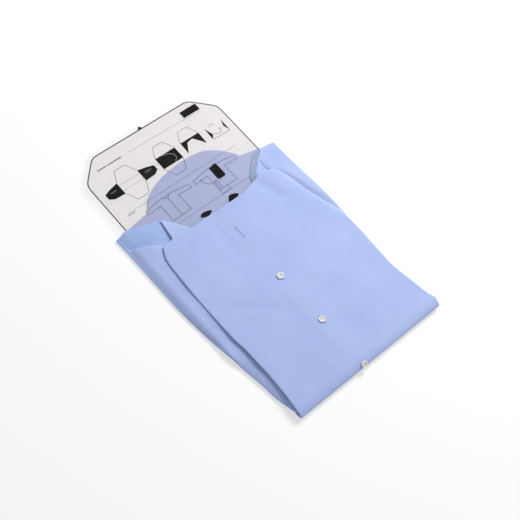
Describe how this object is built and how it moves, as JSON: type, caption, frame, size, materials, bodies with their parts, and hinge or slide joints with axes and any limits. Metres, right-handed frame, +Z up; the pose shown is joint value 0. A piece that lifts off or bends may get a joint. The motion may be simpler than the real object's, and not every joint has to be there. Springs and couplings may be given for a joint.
{
  "type": "folded shirt on a folding board",
  "caption": "Long-sleeved button-front shirt folded flat round a frosted plastic folding board that slides out past the collar; the tail unfolds at the bottom.",
  "frame": {"origin": "on the face the folded shirt lies on, on the board's centre line, half way between the bottom fold and the shoulders", "axes": "+Z up from the table, +Y towards the collar and along the board as it slides out, +X towards the wearer's right"},
  "size_m": [0.318, 0.5149, 0.0136],
  "materials": {
    "cloth": "plain-woven cotton, pressed, light blue",
    "board": "frosted translucent sheet with printed line drawings",
    "button": "cast resin, softly polished, white",
    "thread": "spun thread, white"
  },
  "bodies": {
    "shirt": {"left_front": "cloth", "front_placket": "cloth", "right_front": "cloth", "yoke": "cloth", "back_panel": "cloth", "collar_stand": "cloth", "collar_leaf": "cloth", "body_fold_bend": "cloth", "left_side_bend": "cloth", "right_side_bend": "cloth", "left_side_fold": "cloth", "right_side_fold": "cloth", "left_sleeve": "cloth", "right_sleeve": "cloth", "left_cuff": "cloth", "right_cuff": "cloth", "right_sleeve_tab": "cloth", "front_buttons": "button", "collar_button": "button"},
    "tail": {"tail_left_front": "cloth", "tail_placket": "cloth", "tail_right_front": "cloth", "tail_hem": "cloth", "tail_back": "cloth", "tail_fold_bend": "cloth", "tail_button_1": "button", "tail_button_2": "button", "tail_button_3": "button", "tail_button_threads": "thread"},
    "board": {"folding_board": "board"}
  },
  "joints": [
    {"name": "board_slide", "type": "slide", "parent": "shirt", "child": "board", "axis": [0, 1, 0], "range_m": [0, 0.24]},
    {"name": "tail_unfold", "type": "hinge", "parent": "shirt", "child": "tail", "pos_m": [0, -0.187, 0.007], "axis": [1, 0, 0], "range_deg": [0, 180]}
  ]
}
